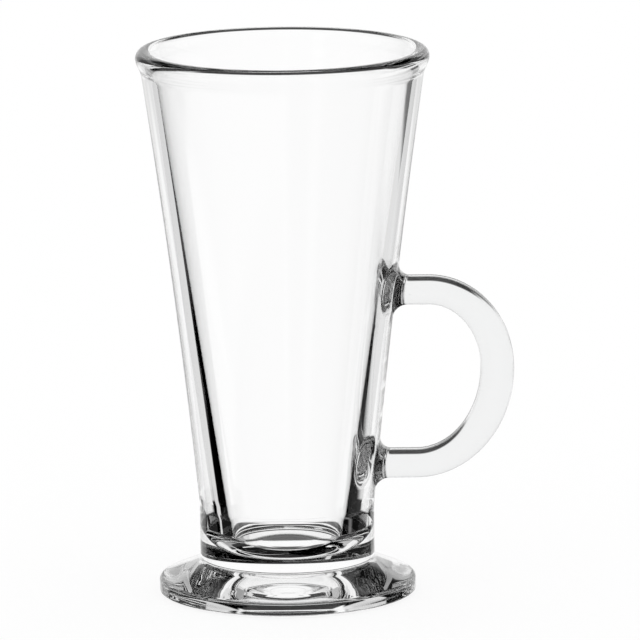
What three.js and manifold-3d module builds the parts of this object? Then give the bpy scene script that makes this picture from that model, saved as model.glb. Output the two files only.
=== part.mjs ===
import * as THREE from 'three';
import { mergeVertices, toCreasedNormals } from 'three/addons/utils/BufferGeometryUtils.js';
import Module from 'manifold-3d';

// A pressed glass latte mug: a tapered bowl welded to a wide foot, with a loop handle on two roots.
// Millimetres, +Z up. The mug stands on z = 0 with its handle towards +X.

// Overall
const HEIGHT = 150;            // standing plane to the top of the lip
const ROUND_SIDES = 72;        // facets round the bowl and the foot
const ARC_STEPS = 4;           // facets along a small round
const CREASE = Math.PI / 7;    // faces that meet at a wider angle keep a crisp edge
const WELD = 1e-4;             // vertices closer than this are one

// Lip
const LIP_RADIUS = 39.8;       // outside of the rounded lip, its widest point
const LIP_ROUND = 2.2;         // radius of the lip's outer and inner edges
const LIP_THICKNESS = 4.8;     // outside of the lip to the wall of the cavity
const LIP_OVERHANG = 1.3;      // how far the lip stands out from the wall under it
const LIP_HEIGHT = 5.2;        // top of the lip to the wall under it

// Bowl
const BASE_RADIUS = 23.8;      // straight base of the bowl
const BASE_HEIGHT = 14.8;      // straight base above the foot
const BASE_EDGE = 1;           // round that leaves a fine groove where bowl and foot are welded
const WALL_BOW = 0.8;          // how far the outside sags from a straight taper, half way up
const WALL_STEPS = 10;         // rings along the tapered wall
const FLOOR_THICKNESS = 2.3;   // glass between the edge of the cavity's floor and the foot
const FLOOR_DISH = 0.5;        // how far the floor dips towards its middle
const BASE_WALL = 9;           // glass beside the cavity, at its floor
const CAVITY_CORNER = 7.5;     // round between the cavity's floor and its wall

// Foot
const FOOT_RADIUS = 35;
const FOOT_EDGE = 4.6;         // height of the foot's upright edge
const FOOT_SLOPE = 4.6;        // rise of the sloping top, from the edge to the weld
const FOOT_SHOULDER = 1.1;     // round between the edge and the slope
const TOE_WIDTH = 6.4;         // the eased lower edge, inwards
const TOE_HEIGHT = 0.9;        // the eased lower edge, upwards
const RING_WIDTH = 4;          // flat ring that the mug stands on
const HOLLOW_DEPTH = 0.3;      // very shallow hollow inside the ring
const HOLLOW_STEPS = 6;

// Handle
const HANDLE_REACH = 62.2;     // bowl's axis to the outside of the loop
const HANDLE_TOP = 87.1;       // upper side of the upper arm
const HANDLE_BOTTOM = 31.5;    // lower side of the lower arm
const HANDLE_WAIST = 61.8;     // height where the loop reaches furthest out
const HANDLE_DEPTH = 9.6;      // flat side to flat side
const HANDLE_EDGE = 3.2;       // wide rounds along the edges of the bar
const ARM_THICKNESS = 7.6;     // the two arms, up and down
const BEND_THICKNESS = 9.1;    // the upright of the loop, in and out
const UPPER_BEND = 39;         // bowl's axis to where the upper arm starts to bend
const LOWER_BEND = 35.5;       // bowl's axis to where the lower arm starts to bend
const BEND_STEPS = 14;         // facets along each quarter of the loop

// Roots, the short stubs on the bowl that the handle's ends are welded to
const ROOT_FILLET = 3.5;       // round between a root and the wall
const ROOT_LAND = 0.4;         // straight stretch between the fillet and the weld
const ROOT_BITE = 2;           // how deep a root starts inside the wall
const ROOT_SIDE_STEPS = 4;     // facets along each straight side of a root

const JOINT_HEIGHT = FOOT_EDGE + FOOT_SLOPE;
const JOINT_RADIUS = BASE_RADIUS - BASE_EDGE;

const wasm = await Module();
wasm.setup();

// Glass, thin enough here to see the cavity and the pieces behind.
function glass(name, geometry) {
  const material = new THREE.MeshStandardMaterial({
    color: 0xeef4f2,
    roughness: 0.04,
    metalness: 0,
    transparent: true,
    opacity: 0.4,
  });
  const mesh = new THREE.Mesh(geometry, material);
  mesh.name = name;
  return mesh;
}

// A closed geometry as a solid that can be joined and cut.
function toSolid(geometry) {
  const bare = geometry.clone();
  bare.deleteAttribute('normal');
  bare.deleteAttribute('uv');
  const merged = mergeVertices(bare, WELD);
  const index = merged.index.array;
  const triangles = [];
  for (let k = 0; k < index.length; k += 3) {
    const corners = [index[k], index[k + 1], index[k + 2]];
    if (new Set(corners).size === 3) triangles.push(...corners);
  }
  const mesh = new wasm.Mesh({
    numProp: 3,
    vertProperties: merged.attributes.position.array,
    triVerts: Uint32Array.from(triangles),
  });
  return new wasm.Manifold(mesh);
}

// A solid as a geometry, with crisp edges where its faces turn sharply.
function toGeometry(solid) {
  const mesh = solid.getMesh();
  const geometry = new THREE.BufferGeometry();
  geometry.setAttribute('position', new THREE.BufferAttribute(mesh.vertProperties, 3));
  geometry.setIndex(new THREE.BufferAttribute(mesh.triVerts, 1));
  return toCreasedNormals(geometry, CREASE);
}

// A profile of (radius, height) points, turned about the Z axis.
function revolve(profile) {
  return new THREE.LatheGeometry(profile, ROUND_SIDES).rotateX(Math.PI / 2);
}

// Points on an elliptical arc of a profile, with angles in radians.
function arc(x, y, radiusX, radiusY, from, to, steps = ARC_STEPS) {
  const clockwise = to < from;
  return new THREE.EllipseCurve(x, y, radiusX, radiusY, from, to, clockwise).getPoints(steps);
}

// Outside of the bowl, from the straight base to the neck under the lip: a taper with a slight flare.
function outerWall() {
  const base = new THREE.Vector2(BASE_RADIUS, JOINT_HEIGHT + BASE_HEIGHT);
  const neck = new THREE.Vector2(LIP_RADIUS - LIP_OVERHANG, HEIGHT - LIP_HEIGHT);
  const middle = base.clone().lerp(neck, 0.5);
  middle.x -= 2 * WALL_BOW;
  return new THREE.QuadraticBezierCurve(base, middle, neck).getPoints(WALL_STEPS);
}

const wall = outerWall();

// Radius of the bowl's outside at a height on its tapered wall.
function wallRadius(z) {
  const above = wall.findIndex((point, k) => k > 0 && point.y >= z);
  const k = above < 0 ? wall.length - 1 : above;
  const share = (z - wall[k - 1].y) / (wall[k].y - wall[k - 1].y);
  return THREE.MathUtils.lerp(wall[k - 1].x, wall[k].x, share);
}

// The turned bowl: straight base, flared wall, rounded lip, tapered cavity with a rounded, dished floor.
function bowlProfile() {
  const floor = JOINT_HEIGHT + FLOOR_THICKNESS;
  const floorRadius = BASE_RADIUS - BASE_WALL;
  const mouthRadius = LIP_RADIUS - LIP_THICKNESS;
  const lipCentre = HEIGHT - LIP_ROUND;
  const taper = Math.atan2(mouthRadius - floorRadius, lipCentre - floor);
  const cornerReach = CAVITY_CORNER * Math.tan((Math.PI / 2 - taper) / 2);
  const cornerX = floorRadius - cornerReach;
  const dish = new THREE.QuadraticBezierCurve(
    new THREE.Vector2(cornerX, floor),
    new THREE.Vector2(cornerX / 2, floor - FLOOR_DISH),
    new THREE.Vector2(0, floor - FLOOR_DISH),
  );
  const underLip = -Math.PI / 3;
  const edge = BASE_EDGE;
  return [
    new THREE.Vector2(0, JOINT_HEIGHT),
    ...arc(JOINT_RADIUS, JOINT_HEIGHT + edge, edge, edge, -Math.PI / 2, 0, 3),
    ...wall,
    ...arc(LIP_RADIUS - LIP_ROUND, lipCentre, LIP_ROUND, LIP_ROUND, underLip, Math.PI / 2, 6),
    ...arc(mouthRadius + LIP_ROUND, lipCentre, LIP_ROUND, LIP_ROUND, Math.PI / 2, Math.PI),
    ...arc(cornerX, floor + CAVITY_CORNER, CAVITY_CORNER, CAVITY_CORNER, -taper, -Math.PI / 2, 6),
    ...dish.getPoints(ARC_STEPS).slice(1),
  ];
}

// The turned foot: hollow underside, standing ring, eased edge, sloping top with a flat weld face.
function footProfile() {
  const ringOuter = FOOT_RADIUS - TOE_WIDTH;
  const ringInner = ringOuter - RING_WIDTH;
  const hollow = new THREE.QuadraticBezierCurve(
    new THREE.Vector2(0, HOLLOW_DEPTH),
    new THREE.Vector2(ringInner / 2, HOLLOW_DEPTH),
    new THREE.Vector2(ringInner, 0),
  );
  const round = Math.min(FOOT_SHOULDER, FOOT_EDGE - TOE_HEIGHT);
  const centre = new THREE.Vector2(FOOT_RADIUS - round, FOOT_EDGE - round);
  const toWeld = new THREE.Vector2(JOINT_RADIUS, JOINT_HEIGHT).sub(centre);
  const slopeStart = toWeld.angle() - Math.acos(round / toWeld.length());
  return [
    ...hollow.getPoints(HOLLOW_STEPS),
    ...arc(ringOuter, TOE_HEIGHT, TOE_WIDTH, TOE_HEIGHT, -Math.PI / 2, 0),
    ...arc(centre.x, centre.y, round, round, 0, slopeStart),
    new THREE.Vector2(JOINT_RADIUS, JOINT_HEIGHT),
    new THREE.Vector2(0, JOINT_HEIGHT),
  ];
}

// Section of the handle's bar, seen from its end: points with the direction that faces out at each.
function barSection(top) {
  const halfDepth = HANDLE_DEPTH / 2 - HANDLE_EDGE;
  const halfThickness = ARM_THICKNESS / 2 - HANDLE_EDGE;
  const middle = top - ARM_THICKNESS / 2;
  const corners = [[1, 1], [-1, 1], [-1, -1], [1, -1]];
  const points = [];
  corners.forEach(([sideY, sideZ], quarter) => {
    for (let k = 0; k <= ARC_STEPS; k++) {
      const angle = (quarter + k / ARC_STEPS) * Math.PI / 2;
      const out = new THREE.Vector2(Math.cos(angle), Math.sin(angle));
      const place = new THREE.Vector2(sideY * halfDepth, middle + sideZ * halfThickness);
      points.push({ place: place.addScaledVector(out, HANDLE_EDGE), out });
    }
    const [nextY, nextZ] = corners[(quarter + 1) % corners.length];
    const last = points[points.length - 1];
    const run = new THREE.Vector2((nextY - sideY) * halfDepth, (nextZ - sideZ) * halfThickness);
    for (let k = 1; k < ROOT_SIDE_STEPS; k++) {
      const place = last.place.clone().addScaledVector(run, k / ROOT_SIDE_STEPS);
      points.push({ place, out: last.out });
    }
  });
  return points;
}

// Distance from the bowl's axis to the flat face where an arm is welded to its root.
function weldFace(top) {
  return wallRadius(top) + ROOT_FILLET + ROOT_LAND;
}

// Point on the bowl's outside, straight in from a place across the handle.
function onWall(place) {
  const radius = wallRadius(place.y);
  return new THREE.Vector3(Math.sqrt(radius ** 2 - place.x ** 2), place.x, place.y);
}

// Closed body through rings of points that all run round the same way.
function loft(rings) {
  const count = rings[0].length;
  const last = (rings.length - 1) * count;
  const index = [];
  for (let start = 0; start < last; start += count) {
    for (let k = 0; k < count; k++) {
      const next = (k + 1) % count;
      index.push(start + k, start + count + k, start + next);
      index.push(start + next, start + count + k, start + count + next);
    }
  }
  for (let k = 1; k < count - 1; k++) {
    index.push(0, k, k + 1);
    index.push(last, last + k + 1, last + k);
  }
  const geometry = new THREE.BufferGeometry().setFromPoints(rings.flat());
  geometry.setIndex(index);
  return geometry;
}

// A root: the bar's section, spread by a fillet that runs out tangent to the tapered round wall.
function root(top) {
  const steps = ARC_STEPS + 1;
  const face = weldFace(top);
  const rings = Array.from({ length: steps + 3 }, () => []);
  for (const { place, out } of barSection(top)) {
    const spread = place.clone().addScaledVector(out, ROOT_FILLET);
    const end = onWall(spread);
    const further = onWall(spread.clone().addScaledVector(out, WELD * 100));
    const along = further.sub(end).normalize();
    const reach = ROOT_FILLET / Math.hypot(along.y, along.z);
    const corner = end.clone().addScaledVector(along, -reach);
    const toArm = new THREE.Vector3(reach, 0, 0);
    const toWall = along.clone().multiplyScalar(reach);
    rings[0].push(new THREE.Vector3(face, place.x, place.y));
    for (let k = 0; k <= steps; k++) {
      const angle = (k / steps) * Math.PI / 2;
      const point = corner.clone().addScaledVector(toArm, 1 - Math.sin(angle));
      rings[k + 1].push(point.addScaledVector(toWall, 1 - Math.cos(angle)));
    }
    const inwards = new THREE.Vector3(-end.x, -end.y, 0).normalize();
    rings[steps + 2].push(end.addScaledVector(inwards, ROOT_BITE));
  }
  return loft(rings);
}

// The loop seen from its flat side, with arms that run past their weld faces towards the axis.
function handleOutline() {
  const waist = HANDLE_WAIST;
  const upperX = weldFace(HANDLE_TOP) - 2 * HANDLE_EDGE;
  const lowerX = weldFace(HANDLE_BOTTOM + ARM_THICKNESS) - 2 * HANDLE_EDGE;
  const inside = HANDLE_REACH - BEND_THICKNESS;
  const rise = HANDLE_TOP - waist;
  const drop = waist - HANDLE_BOTTOM;
  const right = Math.PI / 2;
  const shape = new THREE.Shape();
  shape.moveTo(upperX, HANDLE_TOP);
  shape.lineTo(upperX, HANDLE_TOP - ARM_THICKNESS);
  shape.absellipse(UPPER_BEND, waist, inside - UPPER_BEND, rise - ARM_THICKNESS, right, 0, true);
  shape.absellipse(LOWER_BEND, waist, inside - LOWER_BEND, drop - ARM_THICKNESS, 0, -right, true);
  shape.lineTo(lowerX, HANDLE_BOTTOM + ARM_THICKNESS);
  shape.lineTo(lowerX, HANDLE_BOTTOM);
  shape.absellipse(LOWER_BEND, waist, HANDLE_REACH - LOWER_BEND, drop, -right, 0, false);
  shape.absellipse(UPPER_BEND, waist, HANDLE_REACH - UPPER_BEND, rise, 0, right, false);
  shape.closePath();
  return shape;
}

// Block that trims an arm to its weld face, from one height to another.
function trim(face, from, to) {
  const block = new THREE.BoxGeometry(face, 2 * HANDLE_DEPTH, to - from);
  return toSolid(block.translate(face / 2, 0, (from + to) / 2));
}

function makeBowl() {
  const roots = [HANDLE_TOP, HANDLE_BOTTOM + ARM_THICKNESS].map((top) => toSolid(root(top)));
  const turned = toSolid(revolve(bowlProfile()));
  return glass('bowl', toGeometry(turned.add(roots[0]).add(roots[1])));
}

function makeFoot() {
  return glass('foot', revolve(footProfile()));
}

function makeHandle() {
  const bar = new THREE.ExtrudeGeometry(handleOutline(), {
    depth: HANDLE_DEPTH - 2 * HANDLE_EDGE,
    steps: 1,
    curveSegments: BEND_STEPS,
    bevelThickness: HANDLE_EDGE,
    bevelSize: HANDLE_EDGE,
    bevelOffset: -HANDLE_EDGE,
    bevelSegments: ARC_STEPS,
  });
  bar.rotateX(Math.PI / 2).translate(0, HANDLE_DEPTH / 2 - HANDLE_EDGE, 0);
  const upper = trim(weldFace(HANDLE_TOP), HANDLE_WAIST, HEIGHT);
  const lower = trim(weldFace(HANDLE_BOTTOM + ARM_THICKNESS), 0, HANDLE_WAIST);
  return glass('handle', toGeometry(toSolid(bar).subtract(upper).subtract(lower)));
}

// The origin lies on the standing plane, under the middle of the whole outline.
const mug = new THREE.Group();
mug.name = 'latte_mug';
mug.add(makeBowl(), makeFoot(), makeHandle());
mug.position.x = (LIP_RADIUS - HANDLE_REACH) / 2;

export default mug;
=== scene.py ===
"""A latte mug of clear pressed glass, in a white studio with dark cards beside the light.

The bowl, the foot and the handle are turned, filleted and bevelled here as fine meshes. They stand in
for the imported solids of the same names, at the same size and place.
"""

import logging
import math
from dataclasses import dataclass
from enum import Enum, IntEnum
from typing import Iterator

import bmesh
import bpy
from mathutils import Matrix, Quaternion, Vector


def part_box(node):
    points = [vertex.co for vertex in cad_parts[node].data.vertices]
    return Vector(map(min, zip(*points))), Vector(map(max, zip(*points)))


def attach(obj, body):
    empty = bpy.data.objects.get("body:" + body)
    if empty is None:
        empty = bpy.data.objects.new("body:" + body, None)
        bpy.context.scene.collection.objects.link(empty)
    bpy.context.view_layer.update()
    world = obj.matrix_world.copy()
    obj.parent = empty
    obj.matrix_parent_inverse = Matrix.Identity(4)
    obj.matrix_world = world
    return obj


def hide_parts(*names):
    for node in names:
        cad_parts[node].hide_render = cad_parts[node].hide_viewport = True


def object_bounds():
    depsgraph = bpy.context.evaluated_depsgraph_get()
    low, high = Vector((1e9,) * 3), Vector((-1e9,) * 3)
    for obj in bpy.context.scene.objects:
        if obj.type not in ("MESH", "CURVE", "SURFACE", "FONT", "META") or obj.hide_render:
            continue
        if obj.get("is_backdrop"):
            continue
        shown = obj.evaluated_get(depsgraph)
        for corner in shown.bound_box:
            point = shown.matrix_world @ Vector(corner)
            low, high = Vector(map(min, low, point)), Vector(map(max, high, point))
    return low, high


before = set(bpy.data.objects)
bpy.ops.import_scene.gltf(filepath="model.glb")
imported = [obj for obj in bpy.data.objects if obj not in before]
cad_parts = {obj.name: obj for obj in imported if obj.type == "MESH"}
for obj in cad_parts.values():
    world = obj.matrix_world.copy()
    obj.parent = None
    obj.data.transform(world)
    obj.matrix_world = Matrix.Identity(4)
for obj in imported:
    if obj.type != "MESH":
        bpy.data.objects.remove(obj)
CAD_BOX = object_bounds()

MM = 0.001
QUARTER = math.pi / 2
TURN = 2 * math.pi
ALL_ROUND = 360
ROUND_STEPS = 256
MERGE_DISTANCE = 0.001 * MM
CREASE_ANGLE = math.radians(32)

log = logging.getLogger("latte_mug")


class Surface(IntEnum):
    """Material slots of a glass piece; satin is the finish of the handle's roots."""

    POLISHED = 0
    WELD = 1
    SATIN = 2


class Arm(Enum):
    """The two arms of the handle, each welded to its own root on the bowl."""

    UPPER = "upper"
    LOWER = "lower"


class Wiring:
    """Adds nodes to one node tree and links them."""

    def __init__(self, tree: bpy.types.NodeTree) -> None:
        """Empties the tree that the nodes go into."""
        self.tree = tree
        tree.nodes.clear()

    def add(self, kind: str, **settings: object) -> bpy.types.Node:
        """Adds one node.

        Args:
            kind: The node's type, without the word ShaderNode in front.
            settings: Values for the node's own properties.

        Returns:
            The new node.
        """
        node = self.tree.nodes.new("ShaderNode" + kind)
        for name, value in settings.items():
            setattr(node, name, value)
        return node

    def feed(self, socket: bpy.types.NodeSocket, value: object) -> None:
        """Links another socket to this one, or sets it to a plain value."""
        if isinstance(value, bpy.types.NodeSocket):
            self.tree.links.new(value, socket)
        else:
            socket.default_value = value

    def math(self, operation: str, *values: object) -> bpy.types.NodeSocket:
        """Adds a Math node.

        Args:
            operation: The name of the operation.
            values: One socket or number for each input.

        Returns:
            The socket with the result.
        """
        node = self.add("Math", operation=operation)
        for socket, value in zip(node.inputs, values):
            self.feed(socket, value)
        return node.outputs["Value"]

    def ramp(self, value: bpy.types.NodeSocket, start: float, stop: float) -> bpy.types.NodeSocket:
        """Adds a smooth step from 0 at one value to 1 at another.

        Args:
            value: The socket that is measured.
            start: Where the result is still 0.
            stop: Where the result has reached 1.

        Returns:
            The socket with the step.
        """
        node = self.add("MapRange", interpolation_type="SMOOTHSTEP")
        self.feed(node.inputs["Value"], value)
        node.inputs["From Min"].default_value = start
        node.inputs["From Max"].default_value = stop
        return node.outputs["Result"]

    def noise(self, place: bpy.types.NodeSocket, scale: float, detail: float) -> bpy.types.NodeSocket:
        """Adds a noise texture.

        Args:
            place: Coordinates in metres.
            scale: Features per metre.
            detail: Octaves of finer noise on top.

        Returns:
            The socket with a value around one half.
        """
        node = self.add("TexNoise")
        self.feed(node.inputs["Vector"], place)
        node.inputs["Scale"].default_value = scale
        node.inputs["Detail"].default_value = detail
        return node.outputs["Fac"]


@dataclass(frozen=True)
class PressedGlass:
    """Colourless pressed glass, polished or satin, with the faint waves that the mould leaves.

    Args:
        name: The material's name.
        wave_length: Size of the mould's waves.
        wave_depth: Height of those waves.
        tint: Colour that a thick pane of this glass would have.
        refraction: Index of refraction.
        sheen: Strength of the reflections where the glass is seen straight on.
        roughness: Least and greatest roughness of the skin.
        skin_octaves: Octaves of noise in the roughness.
        wave_octaves: Octaves of noise in the waves.
    """

    name: str
    wave_length: float = 14 * MM
    wave_depth: float = 0.0015 * MM
    tint: tuple[float, float, float] = (0.998, 0.9985, 0.9985)
    refraction: float = 1.52
    sheen: float = 0.2
    roughness: tuple[float, float] = (0.0, 0.0015)
    skin_octaves: int = 3
    wave_octaves: int = 1

    def material(self) -> bpy.types.Material:
        """Builds the material with its nodes."""
        made = bpy.data.materials.new(self.name)
        made.use_nodes = True
        wiring = Wiring(made.node_tree)
        shader = wiring.add("BsdfPrincipled")
        shader.inputs["Base Color"].default_value = (*self.tint, 1)
        shader.inputs["IOR"].default_value = self.refraction
        shader.inputs["Transmission Weight"].default_value = 1
        shader.inputs["Specular Tint"].default_value = (self.sheen, self.sheen, self.sheen, 1)
        place = wiring.add("TexCoord").outputs["Object"]
        skin = wiring.noise(place, 1 / self.wave_length, self.skin_octaves)
        waves = wiring.noise(place, 1 / self.wave_length, self.wave_octaves)
        spread = wiring.add("MapRange")
        wiring.feed(spread.inputs["Value"], skin)
        spread.inputs["To Min"].default_value = self.roughness[0]
        spread.inputs["To Max"].default_value = self.roughness[1]
        wiring.feed(shader.inputs["Roughness"], spread.outputs["Result"])
        bump = wiring.add("Bump")
        bump.inputs["Distance"].default_value = self.wave_depth
        wiring.feed(bump.inputs["Height"], waves)
        wiring.feed(shader.inputs["Normal"], bump.outputs["Normal"])
        out = wiring.add("OutputMaterial")
        wiring.feed(out.inputs["Surface"], shader.outputs["BSDF"])
        return made


@dataclass(frozen=True)
class WeldedFace:
    """A face inside the glass where two pieces were joined hot, so that light passes straight on."""

    name: str = "welded_face"

    def material(self) -> bpy.types.Material:
        """Builds the material with its nodes."""
        made = bpy.data.materials.new(self.name)
        made.use_nodes = True
        wiring = Wiring(made.node_tree)
        shader = wiring.add("BsdfPrincipled")
        shader.inputs["Alpha"].default_value = 0
        out = wiring.add("OutputMaterial")
        wiring.feed(out.inputs["Surface"], shader.outputs["BSDF"])
        return made


class Profile:
    """A half section of a turned piece: (radius, height) points drawn one after the other."""

    def __init__(self, radius: float, height: float) -> None:
        """Starts the section at one point."""
        self.points = [Vector((radius, height))]

    def line(self, radius: float, height: float, steps: int = 1) -> None:
        """Draws a straight stretch.

        Args:
            radius: Where it ends, from the axis.
            height: Where it ends, from the table.
            steps: Pieces that it is divided into.
        """
        start = self.points[-1]
        end = Vector((radius, height))
        for step in range(1, steps + 1):
            self.points.append(start.lerp(end, step / steps))

    def arc(self, centre: tuple[float, float], radii: tuple[float, float],
            turn: tuple[float, float], steps: int) -> None:
        """Draws part of an ellipse.

        Args:
            centre: Radius and height of its centre.
            radii: Its half width and half height.
            turn: Angles where the arc starts and stops, from outwards over upwards.
            steps: Pieces that it is divided into.
        """
        for step in range(steps + 1):
            angle = turn[0] + (turn[1] - turn[0]) * step / steps
            across = centre[0] + radii[0] * math.cos(angle)
            self.points.append(Vector((across, centre[1] + radii[1] * math.sin(angle))))

    def spun(self, axis: float) -> bmesh.types.BMesh:
        """Turns the section about an upright axis.

        Args:
            axis: Where the axis stands along X.

        Returns:
            A closed mesh.
        """
        bm = bmesh.new()
        verts = [bm.verts.new((axis + point.x, 0, point.y)) for point in self.points]
        edges = [bm.edges.new(pair) for pair in zip(verts, verts[1:])]
        bmesh.ops.spin(bm, geom=verts + edges, cent=(axis, 0, 0), axis=(0, 0, 1), dvec=(0, 0, 0),
                       angle=TURN, steps=ROUND_STEPS, use_merge=True, use_duplicate=False)
        bmesh.ops.remove_doubles(bm, verts=bm.verts, dist=MERGE_DISTANCE)
        bmesh.ops.recalc_face_normals(bm, faces=bm.faces)
        return bm


def finished(name: str, bm: bmesh.types.BMesh, finishes: list[bpy.types.Material]) -> bpy.types.Object:
    """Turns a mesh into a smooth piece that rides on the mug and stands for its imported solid.

    Args:
        name: Name of the solid that it replaces.
        bm: The mesh, which is used up.
        finishes: Materials, in the order of Surface.

    Returns:
        The new object.
    """
    bmesh.ops.recalc_face_normals(bm, faces=bm.faces)
    mesh = bpy.data.meshes.new(name + "_glass")
    bm.to_mesh(mesh)
    bm.free()
    mesh.shade_smooth()
    mesh.set_sharp_from_angle(angle=CREASE_ANGLE)
    for finish in finishes:
        mesh.materials.append(finish)
    piece = bpy.data.objects.new(name + "_glass", mesh)
    bpy.context.scene.collection.objects.link(piece)
    even = piece.modifiers.new("even_normals", "WEIGHTED_NORMAL")
    even.keep_sharp = True
    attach(piece, "root")
    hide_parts(name)
    return piece


@dataclass
class Section:
    """Cross section of the handle's bar, a rectangle with rounded edges.

    Args:
        depth: Flat side to flat side.
        thickness: The arms, up and down.
        edge: Radius of the rounded edges.
    """

    depth: float = 9.6 * MM
    thickness: float = 7.6 * MM
    edge: float = 3.2 * MM

    def facing(self, bearing: float, spread: float) -> tuple[Vector, Vector]:
        """Finds the point of the section that lies behind a bearing on a larger outline round it.

        Args:
            bearing: Angle round the section's middle.
            spread: How far the larger outline lies outside the section.

        Returns:
            The point on the section and the direction that faces out there.
        """
        ray = Vector((math.cos(bearing), math.sin(bearing)))
        side = Vector((math.copysign(1, ray.x), math.copysign(1, ray.y)))
        half = Vector((self.depth / 2, self.thickness / 2))
        corner = Vector((side.x * (half.x - self.edge), side.y * (half.y - self.edge)))
        level = ray * ((half.y + spread) / max(abs(ray.y), MERGE_DISTANCE))
        upright = ray * ((half.x + spread) / max(abs(ray.x), MERGE_DISTANCE))
        if abs(level.x) <= abs(corner.x):
            return Vector((level.x, side.y * half.y)), Vector((0, side.y))
        if abs(upright.y) <= abs(corner.y):
            return Vector((side.x * half.x, upright.y)), Vector((side.x, 0))
        round_edge = self.edge + spread
        reach = ray.dot(corner)
        reach += math.sqrt(reach ** 2 - corner.length_squared + round_edge ** 2)
        out = (ray * reach - corner) / round_edge
        return corner + out * self.edge, out


@dataclass
class Bowl:
    """The tapered vessel with its rounded lip, heavy bottom and the two roots of the handle."""

    section: Section
    axis: float
    weld: float
    top: float
    tops: dict[Arm, float]
    lip_radius: float = 39.8 * MM
    lip_round: float = 2.2 * MM
    lip_inner: float = 2.2 * MM
    lip_thickness: float = 4.8 * MM
    lip_overhang: float = 1.3 * MM
    lip_height: float = 5.2 * MM
    lip_ease: float = 1.8 * MM
    base_radius: float = 23.8 * MM
    base_height: float = 14.8 * MM
    base_edge: float = 1 * MM
    base_blend: float = 18 * MM
    wall_bow: float = 0.8 * MM
    floor_thickness: float = 2.3 * MM
    floor_dish: float = 0.5 * MM
    base_wall: float = 9 * MM
    cavity_corner: float = 7.5 * MM
    root_fillet: float = 3.5 * MM
    root_land: float = 0.4 * MM
    window_margin: float = 2.2 * MM
    wall_steps: int = 150
    cavity_steps: int = 32
    base_steps: int = 4
    bend_steps: int = 6
    round_steps: int = 12
    window_rings: int = 3

    @property
    def wall_foot(self) -> float:
        """Height where the taper starts."""
        return self.weld + self.base_height

    @property
    def neck(self) -> float:
        """Height where the taper ends under the lip."""
        return self.top - self.lip_height

    def wall_radius(self, height: float) -> float:
        """Gives the outside of the tapered wall, which sags a little from a straight taper."""
        share = (height - self.wall_foot) / (self.neck - self.wall_foot)
        rise = self.lip_radius - self.lip_overhang - self.base_radius
        return self.base_radius + rise * share - 4 * self.wall_bow * share * (1 - share)

    def weld_face(self, arm: Arm) -> float:
        """Gives the distance from the axis to the flat face where an arm is welded on."""
        return self.wall_radius(self.tops[arm]) + self.root_fillet + self.root_land

    def profile(self) -> Profile:
        """Draws the half section from the weld, over the lip, down to the cavity's floor."""
        floor = self.weld + self.floor_thickness
        floor_radius = self.base_radius - self.base_wall
        mouth = self.lip_radius - self.lip_thickness
        lip = self.top - self.lip_round
        taper = math.atan2(mouth - floor_radius, lip - floor)
        corner = floor_radius - self.cavity_corner * math.tan((QUARTER - taper) / 2)
        drawn = Profile(0, self.weld)
        drawn.line(self.base_radius - self.base_edge, self.weld)
        drawn.arc((self.base_radius - self.base_edge, self.weld + self.base_edge),
                  (self.base_edge, self.base_edge), (-QUARTER, 0), self.bend_steps)
        self.draw_wall(drawn)
        self.draw_lip(drawn)
        drawn.arc((mouth + self.lip_inner, self.top - self.lip_inner), (self.lip_inner, self.lip_inner),
                  (QUARTER, math.pi), self.round_steps)
        low = Vector((corner, floor + self.cavity_corner))
        low += self.cavity_corner * Vector((math.cos(taper), -math.sin(taper)))
        drawn.line(low.x, low.y, self.cavity_steps)
        drawn.arc((corner, floor + self.cavity_corner), (self.cavity_corner, self.cavity_corner),
                  (-taper, -QUARTER), 2 * self.round_steps)
        for step in range(1, self.round_steps + 1):
            share = 1 - step / self.round_steps
            drawn.line(corner * share, floor - self.floor_dish * (1 - share ** 2))
        return drawn

    def draw_wall(self, drawn: Profile) -> None:
        """Draws the straight base, the eased bend above it and the tapered wall."""
        steps = self.wall_steps
        span = self.neck - self.wall_foot
        slope = (self.wall_radius(self.wall_foot + span / steps) - self.base_radius) / (span / steps)
        lean = math.atan(slope)
        ease = self.base_blend * math.tan(lean / 2)
        drawn.line(self.base_radius, self.wall_foot - ease, self.base_steps)
        drawn.arc((self.base_radius + self.base_blend, self.wall_foot - ease),
                  (self.base_blend, self.base_blend), (math.pi, math.pi - lean), self.bend_steps)
        span -= self.lip_ease
        for step in range(1, steps + 1):
            height = self.wall_foot + span * step / steps
            drawn.line(self.wall_radius(height), height)

    def draw_lip(self, drawn: Profile) -> None:
        """Draws the wall's swell under the lip and the lip's round outside."""
        start = drawn.points[-1].y
        lip = self.top - self.lip_round
        rise = self.wall_radius(self.neck) - self.wall_radius(start)
        lean = math.atan(rise / (self.neck - start))
        middle = self.lip_radius - self.lip_round
        end = lip - self.lip_round * math.sin(lean)
        gap = middle + self.lip_round * math.cos(lean) - self.wall_radius(end)
        for step in range(1, 2 * self.round_steps):
            share = step / (2 * self.round_steps)
            swell = share ** 3 * (10 - 15 * share + 6 * share ** 2)
            height = start + (end - start) * share
            drawn.line(self.wall_radius(height) + gap * swell, height)
        drawn.arc((middle, lip), (self.lip_round, self.lip_round), (-lean, QUARTER),
                  2 * self.round_steps)

    def on_wall(self, place: Vector) -> Vector:
        """Finds the point of the wall straight in from a place across the handle.

        Args:
            place: Position across the handle's side and up, from the table.

        Returns:
            The point, with X from the bowl's axis.
        """
        radius = self.wall_radius(place.y)
        return Vector((math.sqrt(radius ** 2 - place.x ** 2), place.x, place.y))

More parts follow.
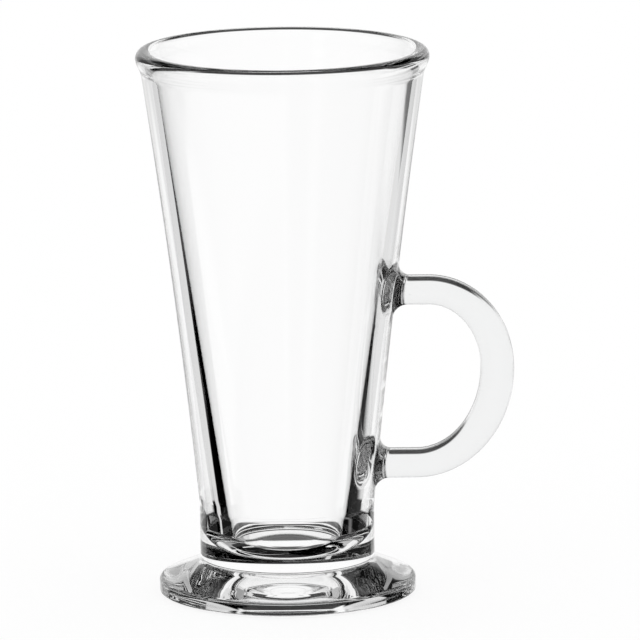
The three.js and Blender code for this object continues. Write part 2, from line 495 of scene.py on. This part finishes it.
    def root_rings(self, arm: Arm, bearing: float) -> Iterator[Vector]:
        """Follows the fillet from the wall out to the weld face, at one bearing round the root.

        Args:
            arm: The arm that the root carries.
            bearing: Angle round the root's middle.

        Yields:
            Points from the wall outwards, with X from the bowl's axis.
        """
        middle = Vector((0, self.tops[arm] - self.section.thickness / 2))
        place, out = self.section.facing(bearing, self.root_fillet)
        place += middle
        foot = self.on_wall(place + out * self.root_fillet)
        past = self.on_wall(place + out * (self.root_fillet + MERGE_DISTANCE * 10))
        along = (past - foot).normalized()
        reach = self.root_fillet / math.hypot(along.y, along.z)
        corner = foot - along * reach
        for step in range(self.round_steps + 1):
            angle = QUARTER * (1 - step / self.round_steps)
            outwards = Vector((reach * (1 - math.sin(angle)), 0, 0))
            yield corner + outwards + along * (reach * (1 - math.cos(angle)))
        yield Vector((self.weld_face(arm), place.x, place.y))

    def add_root(self, bm: bmesh.types.BMesh, arm: Arm) -> None:
        """Opens a window in the wall and draws its edge out into a filleted root.

        Args:
            bm: The turned bowl.
            arm: The arm that the root carries.
        """
        middle = self.tops[arm] - self.section.thickness / 2
        reach = self.root_fillet + self.window_margin
        tall = self.section.thickness / 2 + reach
        wide = self.section.depth / 2 + reach
        window = []
        for face in bm.faces:
            place = face.calc_center_median()
            outside = face.normal.x > 0 and place.x > self.axis
            if outside and abs(place.y) < wide and abs(place.z - middle) < tall:
                window.append(face)
        bmesh.ops.delete(bm, geom=window, context="FACES")
        edges = [edge for edge in bm.edges if edge.is_boundary]
        bearing = bm.verts.layers.float.new("bearing_" + arm.value)
        for vert in {vert for edge in edges for vert in edge.verts}:
            vert[bearing] = math.atan2(vert.co.z - middle, vert.co.y)
        edges = self.ease_to_foot(bm, edges, arm, bearing)
        for ring in range(1, self.round_steps + 2):
            edges = self.draw_out(bm, edges, arm, bearing, ring)
        cap = bmesh.ops.edgeloop_fill(bm, edges=edges)["faces"]
        for face in cap:
            face.material_index = Surface.WELD

    def ease_to_foot(self, bm: bmesh.types.BMesh, edges: list[bmesh.types.BMEdge], arm: Arm,
                     bearing: bmesh.types.BMLayerItem) -> list[bmesh.types.BMEdge]:
        """Fills the wall between the window and the foot of the fillet.

        Args:
            bm: The bowl with its window.
            edges: The window's edges.
            arm: The arm that the root carries.
            bearing: Layer with each point's angle round the root.

        Returns:
            The edges along the foot of the fillet.
        """
        starts = bm.verts.layers.float_vector.new("start_" + arm.value)
        for vert in {vert for edge in edges for vert in edge.verts}:
            vert[starts] = vert.co
        for ring in range(1, self.window_rings + 1):
            edges, verts = self.extruded(bm, edges)
            for vert in verts:
                foot = next(self.root_rings(arm, vert[bearing]))
                place = vert[starts].yz.lerp(foot.yz, ring / self.window_rings)
                vert.co = self.on_wall(place) + Vector((self.axis, 0, 0))
        return edges

    def draw_out(self, bm: bmesh.types.BMesh, edges: list[bmesh.types.BMEdge], arm: Arm,
                 bearing: bmesh.types.BMLayerItem, ring: int) -> list[bmesh.types.BMEdge]:
        """Draws the root's edge out to its next ring.

        Args:
            bm: The bowl with the root as far as it is made.
            edges: The root's open edge.
            arm: The arm that the root carries.
            bearing: Layer with each point's angle round the root.
            ring: Number of the ring, counted from the foot of the fillet.

        Returns:
            The new open edge.
        """
        edges, verts = self.extruded(bm, edges)
        for vert in verts:
            vert.co = list(self.root_rings(arm, vert[bearing]))[ring] + Vector((self.axis, 0, 0))
        for edge in edges:
            edge.link_faces[0].material_index = Surface.SATIN
        return edges

    @staticmethod
    def extruded(bm: bmesh.types.BMesh, edges: list[bmesh.types.BMEdge]) -> tuple[list, list]:
        """Extrudes an open edge in place.

        Args:
            bm: The mesh that it belongs to.
            edges: The edge's loop.

        Returns:
            The new loop of edges and its points.
        """
        made = bmesh.ops.extrude_edge_only(bm, edges=edges)["geom"]
        verts = [item for item in made if isinstance(item, bmesh.types.BMVert)]
        fresh = set(verts)
        sides = [item for item in made if isinstance(item, bmesh.types.BMEdge)]
        loop = [side for side in sides if fresh.issuperset(side.verts)]
        return loop, verts

    def build(self, finishes: list[bpy.types.Material]) -> bpy.types.Object:
        """Builds the bowl.

        Args:
            finishes: Materials, in the order of Surface.

        Returns:
            The dressed piece.
        """
        bm = self.profile().spun(self.axis)
        for face in bm.faces:
            if all(abs(vert.co.z - self.weld) < MERGE_DISTANCE for vert in face.verts):
                face.material_index = Surface.WELD
        for arm in Arm:
            self.add_root(bm, arm)
        return finished("bowl", bm, finishes)


@dataclass
class Foot:
    """The wide, low disc that the mug stands on, all but flat underneath."""

    axis: float
    weld: float
    weld_radius: float
    radius: float = 35 * MM
    edge: float = 4.6 * MM
    shoulder: float = 1.1 * MM
    toe_width: float = 6.4 * MM
    toe_height: float = 0.9 * MM
    ring_width: float = 4 * MM
    hollow_depth: float = 0.3 * MM
    hollow_steps: int = 24
    ring_steps: int = 2
    slope_steps: int = 6
    round_steps: int = 14

    def profile(self) -> Profile:
        """Draws the half section from the hollow, round the edge, up to the weld."""
        ring_outer = self.radius - self.toe_width
        ring_inner = ring_outer - self.ring_width
        drawn = Profile(0, self.hollow_depth)
        for step in range(1, self.hollow_steps + 1):
            share = step / self.hollow_steps
            drawn.line(ring_inner * share, self.hollow_depth * (1 - share ** 2))
        drawn.line(ring_outer, 0, self.ring_steps)
        drawn.arc((ring_outer, self.toe_height), (self.toe_width, self.toe_height),
                  (-QUARTER, 0), self.round_steps)
        centre = Vector((self.radius - self.shoulder, self.edge - self.shoulder))
        to_weld = Vector((self.weld_radius, self.weld)) - centre
        slope = math.atan2(to_weld.y, to_weld.x) - math.acos(self.shoulder / to_weld.length)
        drawn.arc(tuple(centre), (self.shoulder, self.shoulder), (0, slope), self.round_steps)
        drawn.line(self.weld_radius, self.weld, self.slope_steps)
        drawn.line(0, self.weld)
        return drawn

    def build(self, finishes: list[bpy.types.Material]) -> bpy.types.Object:
        """Builds the foot.

        Args:
            finishes: Materials, in the order of Surface.

        Returns:
            The dressed piece.
        """
        bm = self.profile().spun(self.axis)
        for face in bm.faces:
            if all(abs(vert.co.z - self.weld) < MERGE_DISTANCE for vert in face.verts):
                face.material_index = Surface.WELD
        return finished("foot", bm, finishes)


@dataclass
class Handle:
    """The loop that is welded to the bowl's roots: a flat-sided bar with widely rounded edges."""

    section: Section
    axis: float
    faces: dict[Arm, float]
    tops: dict[Arm, float]
    reach: float = 62.2 * MM
    waist: float = 61.8 * MM
    bend_thickness: float = 9.1 * MM
    upper_bend: float = 39 * MM
    lower_bend: float = 35.5 * MM
    bend_steps: int = 44
    edge_steps: int = 12
    flat_margin: float = 0.25 * MM

    def outline(self) -> Profile:
        """Draws the loop seen from its flat side, with X from the bowl's axis."""
        bar = self.section.thickness
        top = self.tops[Arm.UPPER]
        low = self.tops[Arm.LOWER]
        inside = self.reach - self.bend_thickness
        upper = (self.upper_bend, self.waist)
        lower = (self.lower_bend, self.waist)
        drawn = Profile(self.faces[Arm.UPPER], top)
        drawn.arc(upper, (self.reach - self.upper_bend, top - self.waist), (QUARTER, 0), self.bend_steps)
        drawn.points.pop()
        drawn.arc(lower, (self.reach - self.lower_bend, self.waist - low + bar),
                  (0, -QUARTER), self.bend_steps)
        drawn.line(self.faces[Arm.LOWER], low - bar)
        drawn.line(self.faces[Arm.LOWER], low)
        drawn.arc(lower, (inside - self.lower_bend, self.waist - low), (-QUARTER, 0), self.bend_steps)
        drawn.points.pop()
        drawn.arc(upper, (inside - self.upper_bend, top - bar - self.waist),
                  (0, QUARTER), self.bend_steps)
        drawn.line(self.faces[Arm.UPPER], top - bar)
        return drawn

    def build(self, finishes: list[bpy.types.Material]) -> bpy.types.Object:
        """Builds the handle.

        Args:
            finishes: Materials, in the order of Surface.

        Returns:
            The dressed piece.
        """
        half = self.section.depth / 2
        bm = bmesh.new()
        verts = [bm.verts.new((self.axis + point.x, -half, point.y)) for point in self.outline().points]
        side = bm.faces.new(verts)
        pushed = bmesh.ops.extrude_face_region(bm, geom=[side], use_keep_orig=True)["geom"]
        moved = [item for item in pushed if isinstance(item, bmesh.types.BMVert)]
        bmesh.ops.translate(bm, verts=moved, vec=(0, self.section.depth, 0))
        bmesh.ops.recalc_face_normals(bm, faces=bm.faces)
        ends = [face for face in bm.faces if self.is_end(face)]
        for face in ends:
            face.material_index = Surface.WELD
        flats = [face for face in bm.faces if abs(face.normal.y) > math.cos(CREASE_ANGLE)]
        kept = {edge for face in ends for edge in face.edges}
        soft = [edge for face in flats for edge in face.edges if edge not in kept]
        bmesh.ops.bevel(bm, geom=soft, offset=self.section.edge, offset_type="OFFSET", affect="EDGES",
                        segments=self.edge_steps, profile=0.5, material=-1)
        flats = [face for face in bm.faces if abs(face.normal.y) > math.cos(MERGE_DISTANCE)]
        bmesh.ops.inset_region(bm, faces=flats, thickness=self.flat_margin, use_even_offset=True)
        return finished("handle", bm, finishes)

    def is_end(self, face: bmesh.types.BMFace) -> bool:
        """Says whether a face is one of the two flat ends."""
        places = [self.axis + place for place in self.faces.values()]
        return any(all(abs(vert.co.x - place) < MERGE_DISTANCE for vert in face.verts)
                   for place in places)


@dataclass(frozen=True)
class Card:
    """A card or strip light round the mug, as the mug sees it.

    Args:
        left: Compass bearing of its left edge in degrees, from straight behind the mug to the right.
        right: Compass bearing of its right edge.
        low: Height of its lower edge above the horizon, in degrees.
        high: Height of its upper edge.
        level: Its brightness, where 1 is white.
        soft: Width of its blurred edges, in degrees.
    """

    left: float
    right: float
    low: float
    high: float
    level: float = 0
    soft: float = 3


@dataclass
class Studio:
    """The floor, the light all round and the camera.

    Args:
        cards: What light meets that the glass has mirrored, each card over those before it.
        haze: Brightness between those cards.
        table: What light meets that goes straight through the glass and steeply down.
        aim: Point that the camera looks at.
        distance: From the camera to that point.
        elevation: How far the camera looks down.
        roll: How far the camera is turned about its view.
        lens: Focal length, in Blender's unit.
        view_depth: How far the camera sees, in metres.
        floor_radius: Size of the floor, in metres.
        floor_drop: How far the floor lies under the foot.
        floor_sides: Corners of the floor's disc.
        floor_glow: Share of the floor's white that needs no light.
        bounces: How often light may turn inside the glass.
    """

    cards: tuple[Card, ...] = (
        Card(-33, 80, -31.8, -21.2, 0, 2.3),
        Card(-24, 21, -24.3, -12.4, 1, 1.7),
        Card(-21, 190, -8.2, 22.3, 0.95, 1),
        Card(-36, 66.5, 24, 43, 0.05, 9),
        Card(-92.5, -43.4, -61, -15.5, 0, 2),
        Card(33, 195, -1.7, 60, 0, 3),
        Card(-199, -41, -7, 60, 0.04, 2.6),
        Card(-200, 200, 61, 95, 1, 4),
        Card(71.5, 198, -30.3, -20.7, 1, 2),
        Card(-187, -73.6, -36.5, -13.3, 1, 1),
        Card(90, 177, -35.2, 7.4, 0, 1.4),
        Card(-191, -131, -14, 26, 0.35, 12),
        Card(-174, -43.4, -20.7, 27.5, 0, 1.4),
        Card(34, 149, -16, -8.6, 0.06, 1),
        Card(-34, 185, -89, -31.7, 0, 1.4),
        Card(-153.5, -142.5, -13.7, 32.7, 0.93, 2.2),
        Card(-200, -38.5, -93, -27.8, 0.01, 1.2),
        Card(-23, 17, -81, -25, 0.02, 1.8),
        Card(-107, -30, -1, 28, 0.37, 2.4),
        Card(29.5, 106, 4, 28.2, 0.52, 1.3),
        Card(46.5, 68, -30, -20, 0, 1.5),
    )
    haze: float = 0.75
    table: tuple[Card, ...] = (
        Card(-180, 180, -60, -42, 0.1, 8),
        Card(-25, 60, -62, -36, 0.05, 4),
    )
    aim: Vector = Vector((-1.7 * MM, 0, 75.1 * MM))
    distance: float = 2184 * MM
    elevation: float = math.radians(11.04)
    roll: float = math.radians(-0.57)
    lens: float = 451.7
    view_depth: float = 50
    floor_radius: float = 4.0
    floor_drop: float = 0.05 * MM
    floor_sides: int = 64
    floor_glow: float = 0.86
    bounces: int = 32

    def set_camera(self) -> None:
        """Stands the camera in front of the mug, a little above it."""
        data = bpy.data.cameras.new("camera")
        data.lens = self.lens
        data.clip_end = self.view_depth
        camera = bpy.data.objects.new("camera", data)
        bpy.context.scene.collection.objects.link(camera)
        back = Vector((0, -math.cos(self.elevation), math.sin(self.elevation)))
        camera.location = self.aim + back * self.distance
        camera.rotation_mode = "QUATERNION"
        level = (-back).to_track_quat("-Z", "Y")
        camera.rotation_quaternion = level @ Quaternion((0, 0, 1), self.roll)
        bpy.context.scene.camera = camera

    def lay_floor(self) -> None:
        """Lays a white floor that takes the mug's shadow, and that the glass looks straight through."""
        bm = bmesh.new()
        bmesh.ops.create_circle(bm, cap_ends=True, segments=self.floor_sides, radius=self.floor_radius)
        bmesh.ops.translate(bm, verts=bm.verts, vec=(0, 0, -self.floor_drop))
        mesh = bpy.data.meshes.new("floor")
        bm.to_mesh(mesh)
        bm.free()
        made = bpy.data.materials.new("floor_paper")
        made.use_nodes = True
        wiring = Wiring(made.node_tree)
        paper = wiring.add("BsdfDiffuse")
        paper.inputs["Color"].default_value = (1, 1, 1, 1)
        clear = wiring.add("BsdfTransparent")
        path = wiring.add("LightPath")
        through = wiring.math("MAXIMUM", path.outputs["Is Glossy Ray"],
                              path.outputs["Is Transmission Ray"])
        glow = wiring.add("Emission")
        glow.inputs["Color"].default_value = (1, 1, 1, 1)
        lit = wiring.add("MixShader")
        lit.inputs["Fac"].default_value = self.floor_glow
        wiring.feed(lit.inputs[1], paper.outputs["BSDF"])
        wiring.feed(lit.inputs[2], glow.outputs["Emission"])
        mix = wiring.add("MixShader")
        wiring.feed(mix.inputs["Fac"], through)
        wiring.feed(mix.inputs[1], lit.outputs["Shader"])
        wiring.feed(mix.inputs[2], clear.outputs["BSDF"])
        out = wiring.add("OutputMaterial")
        wiring.feed(out.inputs["Surface"], mix.outputs["Shader"])
        mesh.materials.append(made)
        floor = bpy.data.objects.new("floor", mesh)
        bpy.context.scene.collection.objects.link(floor)
        floor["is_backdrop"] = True

    def light(self) -> None:
        """Lights the studio: white all round, with the cards where light comes that the glass mirrored."""
        world = bpy.data.worlds.new("studio")
        world.use_nodes = True
        wiring = Wiring(world.node_tree)
        axes = wiring.add("SeparateXYZ")
        wiring.feed(axes.inputs["Vector"], wiring.add("TexCoord").outputs["Generated"])
        bearing = wiring.math("ARCTAN2", axes.outputs["X"], axes.outputs["Y"])
        bearing = wiring.math("DEGREES", bearing)
        height = wiring.math("DEGREES", wiring.math("ARCSINE", axes.outputs["Z"]))
        path = wiring.add("LightPath")
        straight = self.layered(wiring, bearing, height, 1, self.table)
        mirrored = self.layered(wiring, bearing, height, self.haze, self.cards)
        turned = wiring.math("MINIMUM", path.outputs["Glossy Depth"], 1)
        change = wiring.math("MULTIPLY", turned, wiring.math("SUBTRACT", mirrored, straight))
        sky = wiring.add("Background")
        wiring.feed(sky.inputs["Strength"], wiring.math("ADD", straight, change))
        sky.inputs["Color"].default_value = (1, 1, 1, 1)
        out = wiring.add("OutputWorld")
        wiring.feed(out.inputs["Surface"], sky.outputs["Background"])
        bpy.context.scene.world = world

    def layered(self, wiring: Wiring, bearing: bpy.types.NodeSocket, height: bpy.types.NodeSocket,
                level: object, cards: tuple[Card, ...]) -> object:
        """Adds the nodes that lay cards one over the other on an even light.

        Args:
            wiring: The world's nodes.
            bearing: Compass bearing of the ray.
            height: Height of the ray above the horizon.
            level: Brightness of the even light.
            cards: The cards, the lowest first.

        Returns:
            The brightness that the ray sees.
        """
        for card in cards:
            mask = self.mask(wiring, bearing, height, card)
            gain = wiring.math("MULTIPLY", mask, wiring.math("SUBTRACT", card.level, level))
            level = wiring.math("ADD", level, gain)
        return level

    @staticmethod
    def mask(wiring: Wiring, bearing: bpy.types.NodeSocket, height: bpy.types.NodeSocket,
             card: Card) -> bpy.types.NodeSocket:
        """Adds the nodes that are 1 on a card and 0 beside it.

        Args:
            wiring: The world's nodes.
            bearing: Compass bearing of the ray.
            height: Height of the ray above the horizon.
            card: The card.

        Returns:
            The socket with the mask.
        """
        half = card.soft / 2
        mask = wiring.ramp(height, card.low - half, card.low + half)
        mask = wiring.math("MULTIPLY", mask, wiring.ramp(height, card.high + half, card.high - half))
        if card.right - card.left < ALL_ROUND:
            left = wiring.ramp(bearing, card.left - half, card.left + half)
            right = wiring.ramp(bearing, card.right + half, card.right - half)
            mask = wiring.math("MULTIPLY", mask, wiring.math("MULTIPLY", left, right))
        return mask

    def build(self) -> None:
        """Sets up the camera, the floor and the light."""
        scene = bpy.context.scene
        scene.view_settings.view_transform = "Standard"
        scene.cycles.max_bounces = self.bounces
        scene.cycles.glossy_bounces = self.bounces
        scene.cycles.transmission_bounces = self.bounces
        scene.cycles.transparent_max_bounces = 2 * self.bounces
        self.set_camera()
        self.lay_floor()
        self.light()


def note_size() -> None:
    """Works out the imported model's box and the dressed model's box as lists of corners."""
    boxes = {"cad": CAD_BOX, "visual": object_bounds()}
    lists = {name: [list(corner) for corner in box] for name, box in boxes.items()}


def main() -> None:
    """Builds the studio and the three pieces of the mug."""
    logging.basicConfig(level=logging.INFO, format="%(name)s: %(message)s")
    low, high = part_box("foot")
    axis = (low.x + high.x) / 2
    weld = high.z
    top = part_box("bowl")[1].z
    handle_low, handle_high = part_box("handle")
    section = Section(depth=handle_high.y - handle_low.y)
    tops = {Arm.UPPER: handle_high.z, Arm.LOWER: handle_low.z + section.thickness}
    Studio().build()
    welded = WeldedFace().material()
    bowl = Bowl(section=section, axis=axis, weld=weld, top=top, tops=tops)
    satin = PressedGlass("handle_glass", tint=(0.9, 0.904, 0.904), roughness=(0.09, 0.13)).material()
    polished = PressedGlass("bowl_glass").material()
    log.info("built %s", bowl.build([polished, welded, satin]).name)
    foot = Foot(axis=axis, weld=weld, weld_radius=bowl.base_radius - bowl.base_edge)
    moulded = PressedGlass("foot_glass", roughness=(0.002, 0.006)).material()
    log.info("built %s", foot.build([moulded, welded]).name)
    faces = {arm: bowl.weld_face(arm) for arm in Arm}
    handle = Handle(section=section, axis=axis, faces=faces, tops=tops)
    log.info("built %s", handle.build([satin, welded]).name)
    note_size()


if __name__ == "__main__":
    main()
